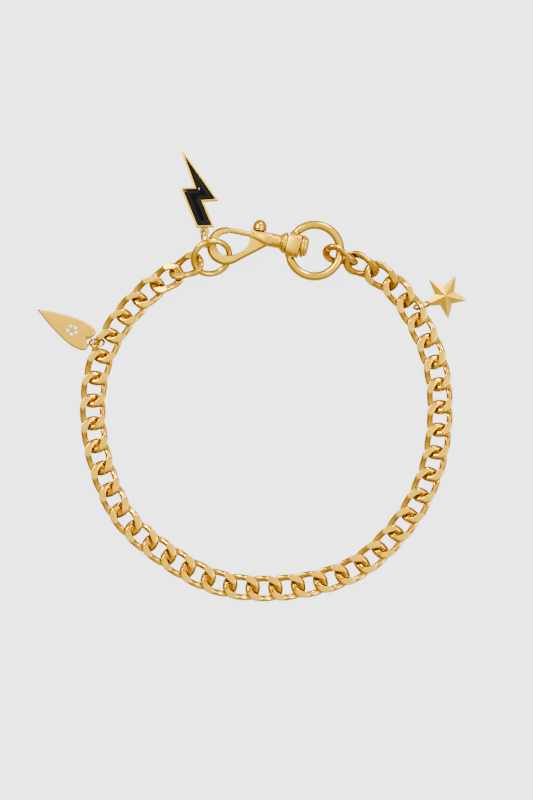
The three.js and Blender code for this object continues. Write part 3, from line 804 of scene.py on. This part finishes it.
# The hook's housing and spindle, both cut free round the bolt, and its arm.
def addHook():
    spindleShell = turnedShell(profileLine(spindle), segments=112)
    for name, shell in (("hookBody", housingShell()), ("hookSpindle", spindleShell)):
        piece = addPiece(name, onHook(shell), claspGold, ["hook"], "hook")
        cutOut(piece, onHook(boreShell()))
        cutOut(piece, onHook(slotShell()))
    shell = armShell()
    piece = addPiece("hookArm", onHook(shell), armGold, ["hook"], "hook", sharp=28, merge=False)
    # ground marks the arm's flats: satin, and painted paler than its bevels.
    ground = np.abs(shell[0][:, 2]) > arm["thickness"] / 2 - arm["groundDepth"]
    markPiece(piece, {"ground": ground.astype(float)})


addHook()

knob = {"at": -11.5, "domeRadius": 2.64, "domeFoot": 4.1, "top": 6.85, "domeFrom": 0.06, "domeRows": 18}
knobFoot = [  # radius, height over the clasp's axis, and how much of each corner is rounded
    (0.0, 2.66, 0), (2.1, 2.66, 0.05), (2.1, 2.98, 0.05), (2.62, 2.98, 0.15), (2.72, 3.23, 0.15),
    (2.72, 4.0, 0.1), (2.6, 4.1, 0.06), (2.62, 4.22, 0),
]


# The thumb knob, turned about the across axis: a rimmed foot, a waist line and a dome. The dome is
# a quarter of an ellipse: its radius goes with the cosine and its height with the sine.
def knobShell():
    turn = np.linspace(knob["domeFrom"], math.pi / 2, knob["domeRows"])
    height = lerp(knob["domeFoot"], knob["top"], np.sin(turn))
    dome = np.stack([knob["domeRadius"] * np.cos(turn), height], -1)
    dome[-1, 0] = 0
    profile = np.concatenate([profileLine(knobFoot), dome])
    return placed(turnedShell(profile, segments=64), alongY, (knob["at"], 0, 0))


# The sliding rod with its stem, and the knob on the stem.
def addBolt():
    radius, tip, tail, cut = (boltRod[key] for key in ("radius", "tip", "tail", "cut"))
    ends = [(0, tip, 0), (radius, tip, cut), (radius, tail, cut), (0, tail, 0)]
    rod = placed(turnedShell(profileLine(ends), segments=48), shift=(0, boltRod["across"], 0))
    post = cylinderShell(stem["radius"], boltRod["across"], stem["top"], segments=32)
    shell = joinShells(rod, placed(post, alongY, (stem["at"], 0, 0)))
    addPiece("springBolt", onHook(shell), claspGold, ["bolt"], "bolt")
    addPiece("thumbKnob", onHook(knobShell()), polishGold, ["thumb_knob"], "bolt", sharp=30)


addBolt()
print("clasp is assembled")

# Each ring's node and wire, where its joint is in degrees from its level axis, and how far it is
# moved. Some are widened too, turned about z or rolled about their own level axis.
smallRing = {"wire": 0.92, "joint": 60.0, "gap": 0.1, "rows": 90}
wireRings = {
    "jumpRing": {
        "node": "jump_ring", "wire": 2.35, "joint": 200.0, "gap": 0.08, "rows": 140, "shift": (0.4, -0.4, 0.36),
        "wider": 0.2,
    },
    "lightningRing": {
        **smallRing, "node": "lightning_ring", "wire": 1.0, "joint": 70.0, "shift": (0, 0, -0.22),
        "turn": 8.0, "roll": 20.0,
    },
    "heartRing": {**smallRing, "node": "heart_ring", "shift": (0.2, -0.25, 0.08)},
    "starRing": {**smallRing, "node": "star_ring", "shift": (0, 0, 0.08)},
}


# A ring's level direction lies in its plane, and its steep one is square to that. Its radius is
# the mean distance of its CAD points from the middle.
def addWireRing(name, ring):
    middle, axes = nodeAxes(ring["node"])
    normal = axes[:, 2]
    level = np.cross([0, 0, 1], normal)
    level /= np.linalg.norm(level)
    axes = np.column_stack([level, np.cross(normal, level), normal])
    away = (nodePoints(ring["node"]) - middle) @ axes
    radius = np.linalg.norm(away[:, :2], axis=1).mean() + ring.get("wider", 0)
    half = ring["gap"] / 2 / radius
    start = math.radians(ring["joint"]) + half
    end = start + 2 * math.pi - 2 * half
    axes = turnAbout("z", ring.get("turn", 0)) @ axes @ turnAbout("x", ring.get("roll", 0))
    wire = wireShell(radius, start, end, lambda share: ring["wire"] / 2 + 0 * share, ring["rows"], columns=24,
                     endRound=0.08)
    shell = placed(wire, axes, middle + np.array(ring["shift"]))
    addPiece(name, shell, ringGold, [ring["node"]])


for ringName, ringValues in wireRings.items():
    addWireRing(ringName, ringValues)
print("rings are closed")


# A charm's flat eye: a ring whose section is a rounded rectangle, standing on z = 0.
def eyeShell(charm, cut=0.12, segments=56):
    outer, hole, thickness = charm["eye"], charm["hole"], charm["eyeThickness"]
    section = roundCorners([(hole, 0), (outer, 0), (outer, thickness), (hole, thickness)], cut, 4)
    turn = onceRound(segments)[:, None]
    return gridShell(polar(section[:, 0], turn, section[:, 1] + 0 * turn), closedRows=True)


flash = {
    "lift": 6.0, "reach": 31.1, "floor": 0.5, "wall": 0.68, "eye": 1.85, "hole": 0.98, "eyeThickness": 0.85,
    "shift": (0.0, -0.3, 0.0), "bendSteps": 8, "backGrid": 1.2, "enamelGap": 0.02, "enamelLift": 0.05,
    "enamelEdge": 1.05, "enamelTop": 1.6, "enamelRound": 2.1, "enamelSteps": 24, "enamelGrid": 0.22,
}
flashCorners = [  # from the far tip, counterclockwise seen from above
    (-9.79, 33.62), (-3.9, 17.0), (-9.1, 16.75), (-2.98, 1.4), (3.7, 1.6), (-0.35, 11.45), (5.3, 11.85),
]
flashCuts = [4.9, 0.3, 0.35, 0.35, 0.35, 0.3, 0.35]  # how much of each corner is rounded outside
flashInnerCuts = [0.6, 0.35, 0.25, 0.3, 0.3, 0.35, 0.25]  # and at the pocket's wall
flashRim = [  # how far in from the outline, and the height
    (0.1, 0.0), (0.0, 0.12), (0.0, 1.4), (0.05, 1.53), (0.15, 1.6), (0.5, 1.6),
    (0.62, 1.54), (0.68, 1.42), (0.68, 0.5),
]


# The lightning outline moved inwards: its corners' cuts go from the outer to the inner ones.
def flashOutline(inset):
    share = min(inset / flash["wall"], 1)
    cuts = lerp(np.array(flashCuts), np.array(flashInnerCuts), share)
    return roundCorners(insetCorners(flashCorners, inset), cuts, flash["bendSteps"])


# The frame's rows run round the outline, moved inwards and up by the rim's profile. The back
# and the pocket's floor are filled flat.
def flashFrameShell():
    rings = [raised(flashOutline(inset), height) for inset, height in flashRim]
    flats = []
    for ring in (rings[0], rings[-1]):
        flat, triangles = fillOutline(ring[:, :2], flash["backGrid"])
        flats.append((raised(flat, ring[0, 2]), [triangles]))
    return joinShells(gridShell(np.stack(rings)), *flats)


# The enamel stands in the pocket. From its edge it rises in a parabola to a level top.
def enamelHeight(depth):
    share = np.clip(depth / flash["enamelRound"], 0, 1)
    return lerp(flash["enamelEdge"], flash["enamelTop"], 1 - (1 - share) ** 2)


# The lightning charm leans: its far tip lies on the floor, and its eye is lifted to its ring.
def addFlash():
    lean = turnAbout("x", -math.degrees(math.asin(flash["lift"] / flash["reach"])))
    metal = joinShells(flashFrameShell(), eyeShell(flash))
    shift = seatShift(metal, lean, "lightning_frame", flash["shift"])
    addPiece("lightningFrame", placed(metal, lean, shift), charmGold, ["lightning_frame"], sharp=40)
    outline = insetCorners(flashCorners, flash["wall"] + flash["enamelGap"])
    outline = roundCorners(outline, flashInnerCuts, flash["enamelSteps"])
    foot = flash["floor"] + flash["enamelLift"]
    fill = plateShell(outline, enamelHeight, lambda depth: 0 * depth + foot, flash["enamelGrid"])
    fill = placed(fill, lean, shift)
    addPiece("lightningEnamel", fill, blackEnamel, ["lightning_enamel"], sharp=60)


addFlash()

heart = {
    "heading": 149.4, "lift": 1.45, "tip": 23.5, "thickness": 1.7, "round": 0.38, "crown": 0.1, "crownReach": 1.5,
    "backCut": 0.3, "rows": 90, "grid": 0.4, "eyeAcross": 0.4, "eye": 1.65, "hole": 1.05, "eyeThickness": 0.6,
    "cutFrom": -3.0, "cutTo": 5.0, "shift": (0.34, -0.4, 0.0),
}
heartHalf = [  # along from the eye, and across: one half, from the tip to the cleft
    (23.5, 0.0), (20.7, 1.05), (17.6, 2.2), (13.0, 3.65), (8.2, 4.85), (5.0, 5.25), (2.4, 5.15), (0.6, 4.7),
    (-0.5, 3.7), (-0.5, 2.3), (0.4, 1.0), (1.9, 0.0),
]
flower = {
    "along": 7.6, "turn": 34.0, "stones": 5, "stone": 0.7, "ring": 1.6, "raised": 0.12, "bead": 0.24,
    "beadHeight": 1.1, "centreBead": 0.38, "centreHeight": 0.8,
    "beadRings": [(0.62, 0.9, 0.5), (1.85, 0.8, 0.0)],  # share of the ring, of the bead, and of a turn on
}
stoneProfile = [  # share of the radius, height, and share of a facet turned on
    (0, 0.34, 0), (0.56, 0.34, 0), (0.8, 0.2, 0.5), (1, 0.04, 0), (1, -0.04, 0), (0, -0.7, 0),
]


# A round-cut stone, its axis along z: a flat table, sloping crown, thin girdle and a cut base.
def stoneShell(radius, facets=8):
    turn = onceRound(facets)
    size, height, shift = np.array(stoneProfile).T[..., None]
    angle = turn + shift * math.pi / facets
    return gridShell(polar(radius * size, angle, 0 * angle + height * radius))


# A small ball whose height is changed by a factor.
def beadShell(radius, height, rows=10, columns=16):
    tilt = np.linspace(0, math.pi, rows)[:, None]
    turn = onceRound(columns)
    return gridShell(polar(radius * np.sin(tilt), turn, radius * height * np.cos(tilt) + 0 * turn))


# The heart's outline: a smooth line down one half, mirrored for the other.
def heartOutline():
    half = smoothLine(heartHalf, heart["rows"])
    return np.concatenate([half, half[-2:0:-1] * [1, -1]])


# The heart's face: a quarter round at the edge, and a crown that nears its full height as
# one minus e to the minus depth over the crown's reach.
def heartFace(depth):
    share = np.clip(depth / heart["round"], 0, 1)
    edge = heart["thickness"] - heart["round"] * (1 - np.sqrt(1 - (1 - share) ** 2))
    return edge + heart["crown"] * (1 - np.exp(-depth / heart["crownReach"]))


# The heart's back is flat, with a straight cut at its edge.
def heartBack(depth):
    return heart["backCut"] * (1 - np.clip(depth / heart["backCut"], 0, 1))


# Stones stand in a ring round a bead, with a small bead inside between two of them, and one outside
# each stone.
def flowerShells():
    top = heart["thickness"] + heart["crown"]
    step = 2 * math.pi / flower["stones"]

    def at(turn, reach, height):
        return flower["along"] + reach * math.cos(turn), reach * math.sin(turn), height

    stones, beads = [], [placed(beadShell(flower["centreBead"], flower["centreHeight"]), shift=at(0, 0, top))]
    for number in range(flower["stones"]):
        turn = math.radians(flower["turn"]) + step * number
        place = at(turn, flower["ring"], top + flower["raised"])
        stones.append(placed(stoneShell(flower["stone"]), turnAbout("z", math.degrees(turn)), place))
        for reach, size, side in flower["beadRings"]:
            place = at(turn + side * step, flower["ring"] * reach, top)
            beads.append(placed(beadShell(flower["bead"] * size, flower["beadHeight"]), shift=place))
    return joinShells(*stones), joinShells(*beads)


# The axes of a charm that lies in a heading from its eye, tilted so that at the reach it is lower
# than at the eye by its lift: the tilt's sine is the lift over the reach.
def charmAxes(charm, reach):
    tilt = math.degrees(math.asin(charm["lift"] / reach))
    return turnAbout("z", charm["heading"]) @ turnAbout("y", tilt)


# The heart's plate with its eye's hole cut through, the eye, and the flower on the plate.
def addHeart():
    plate = plateShell(heartOutline(), heartFace, heartBack, heart["grid"])
    across = (0, heart["eyeAcross"], 0)
    eye = placed(eyeShell(heart), shift=across)
    hole = cylinderShell(heart["hole"], heart["cutFrom"], heart["cutTo"], segments=48)
    hole = placed(hole, alongZ, across)
    axes = charmAxes(heart, heart["tip"])
    shift = seatShift(joinShells(plate, eye), axes, "heart", heart["shift"])
    piece = addPiece("heartPlate", placed(plate, axes, shift), charmGold, ["heart"], sharp=50)
    cutOut(piece, placed(hole, axes, shift), sharp=50)
    addPiece("heartEye", placed(eye, axes, shift), charmGold, ["heart"])
    stones, beads = (placed(part, axes, shift) for part in flowerShells())
    addPiece("heartStones", stones, whiteStone, ["heart"], sharp=10)
    addPiece("heartBeads", beads, charmGold, ["heart"])


addHeart()

star = {
    "heading": 26.0, "lift": 1.15, "points": 5, "tip": 8.95, "valley": 3.95, "edge": 0.5, "peak": 2.3,
    "blunt": 0.5, "valleyCut": 0.02, "rows": 7, "eye": 1.45, "hole": 0.95, "eyeThickness": 0.6,
    "bevel": 0.14, "ridge": 12.0, "shift": (-1.6, -0.15, 0.0),
}


# A five-pointed pyramid: over each direction the height falls in a straight line from the peak
# to the edge, so that ridges run to the tips and grooves to the valleys. The tips are blunt.
def starShell():
    corner = np.arange(2 * star["points"])
    turn = math.pi + math.pi / star["points"] * corner
    radius = np.where(corner % 2 == 0, star["tip"], star["valley"])
    rim = roundCorners(polar(radius, turn), [star["blunt"], star["valleyCut"]] * star["points"], 2)
    share = np.linspace(0, 1, star["rows"])[:, None, None]
    top = np.concatenate([rim[None] * share, lerp(star["peak"], star["edge"], share) + 0 * rim[None, :, :1]], -1)
    foot = raised(rim, 0)[None]
    return gridShell(np.concatenate([top, foot, 0 * foot]))


# The star lies with one tip at its eye and rests on its two far tips.
def addStar():
    reach = star["tip"] + star["hole"]
    farTips = reach + star["tip"] * math.cos(math.pi / star["points"])
    plate, eye = placed(starShell(), shift=(reach, 0, 0)), eyeShell(star)
    axes = charmAxes(star, farTips)
    shift = seatShift(joinShells(plate, eye), axes, "star", star["shift"])
    plate = placed(plate, axes, shift)
    piece = addPiece("starBody", plate, starGold, ["star"], sharp=star["ridge"])
    soft = piece.modifiers.new("softEdges", "BEVEL")
    soft.width, soft.segments, soft.limit_method = star["bevel"] * mm, 2, "ANGLE"
    soft.angle_limit = math.radians(star["ridge"])
    addPiece("starEye", placed(eye, axes, shift), starGold, ["star"])


addStar()
print("charms are hung")

floor = {
    "size": 6.0, "drop": 0.0002, "tone": (0.1, 0.1, 0.1, 1), "glow": 3.45, "glowInMetal": 0.6,
    "tintInMetal": (1.0, 0.6, 0.38, 1),
}


# A pale floor that mostly glows by itself, so that shadows on it stay faint. In the metal's
# reflections its glow is weaker and warmer than straight on, as with a table lit only round the piece.
def addFloor():
    size, level = floor["size"] / 2, cadBox[0][2] - floor["drop"]
    corners = [(-size, -size, level), (size, -size, level), (size, size, level), (-size, size, level)]
    data = bpy.data.meshes.new("paleFloor")
    data.from_pydata(corners, [], [(0, 1, 2, 3)])
    material, tree, shader = newMaterial("paleFloor")
    direct = addNode(tree, "LightPath").outputs["Is Camera Ray"]
    feed(tree, shader, {
        "Base Color": floor["tone"], "Roughness": 1.0, "Specular IOR Level": 0.0,
        "Emission Strength": mapped(tree, direct, (0, 1), (floor["glowInMetal"], floor["glow"])),
        "Emission Color": mixedColor(tree, direct, floor["tintInMetal"], (1, 1, 1, 1)),
    })
    data.materials.append(material)
    piece = newObject("paleFloor", data)


softboxes = {  # azimuth, elevation, distance, size and power
    "mainBox": (-10, 54, 2.0, (0.6, 0.8), 20),
    "keyBox": (70, 27, 1.6, (0.4, 0.4), 22),
    "windowBox": (138, 47, 1.7, (0.6, 0.14), 32),
}


# A softbox: an area light that faces the middle of the necklace from a direction given by its
# azimuth from +x and its elevation.
def addSoftbox(name, azimuth, elevation, distance, size, power):
    data = bpy.data.lights.new(name, "AREA")
    data.shape, data.size, data.size_y = "RECTANGLE", size[0], size[1]
    data.energy = power
    light = newObject(name, data)
    way = Vector(turnAbout("z", azimuth) @ turnAbout("y", -elevation) @ (1, 0, 0))
    light.location = way * distance
    light.rotation_euler = way.to_track_quat("Z", "Y").to_euler()


room = {
    "levels": [(0.0, 0.2), (0.12, 0.25), (0.4, 1.0), (1.0, 1.6)],  # the height of a direction, and how bright
    "tint": (1.0, 0.62, 0.4), "right": 0.35, "back": 0.4,
    "opening": (-0.018, 0.431, 0.902), "openFrom": 0.966, "openTo": 0.988, "openLevel": 0.12,
}


# The room is a pale tent: bright from overhead down to a band above the horizon, and dark below it.
# It is brighter on one side: the level is multiplied by 1 + right times x + back times y. One
# round opening in it is dark: there the level falls as the direction comes near the opening's.
def addRoom():
    world = bpy.data.worlds.new("studio")
    bpy.context.scene.world = world
    world.use_nodes = True
    tree = world.node_tree
    way = addNode(tree, "TexCoord").outputs["Generated"]
    height = addNode(tree, "SeparateXYZ", {0: way}).outputs[2]
    ramp = addNode(tree, "ValToRGB", {0: height})
    stops = ramp.color_ramp.elements
    for index, (place, level) in enumerate(room["levels"]):
        stop = stops[index] if index < len(stops) else stops.new(place)
        tint = [lerp(part, 1, min(level, 1)) for part in room["tint"]]
        stop.position, stop.color = place, (level * tint[0], level * tint[1], level * tint[2], 1)
    lean = addNode(tree, "VectorMath", {0: way, 1: (room["right"], room["back"], 0)}, operation="DOT_PRODUCT")
    level = addNode(tree, "Math", {0: lean.outputs["Value"], 1: 1.0}, operation="ADD")
    near = addNode(tree, "VectorMath", {0: way, 1: room["opening"]}, operation="DOT_PRODUCT")
    inputs = {0: near.outputs["Value"], 1: room["openFrom"], 2: room["openTo"], 3: 1.0, 4: room["openLevel"]}
    opening = addNode(tree, "MapRange", inputs, interpolation_type="SMOOTHSTEP")
    both = addNode(tree, "Math", {0: level.outputs[0], 1: opening.outputs[0]}, operation="MULTIPLY")
    feed(tree, tree.nodes["Background"], {"Color": ramp.outputs[0], "Strength": both.outputs[0]})


addFloor()
addRoom()
for boxName, boxValues in softboxes.items():
    addSoftbox(boxName, *boxValues)
print("lights are on")
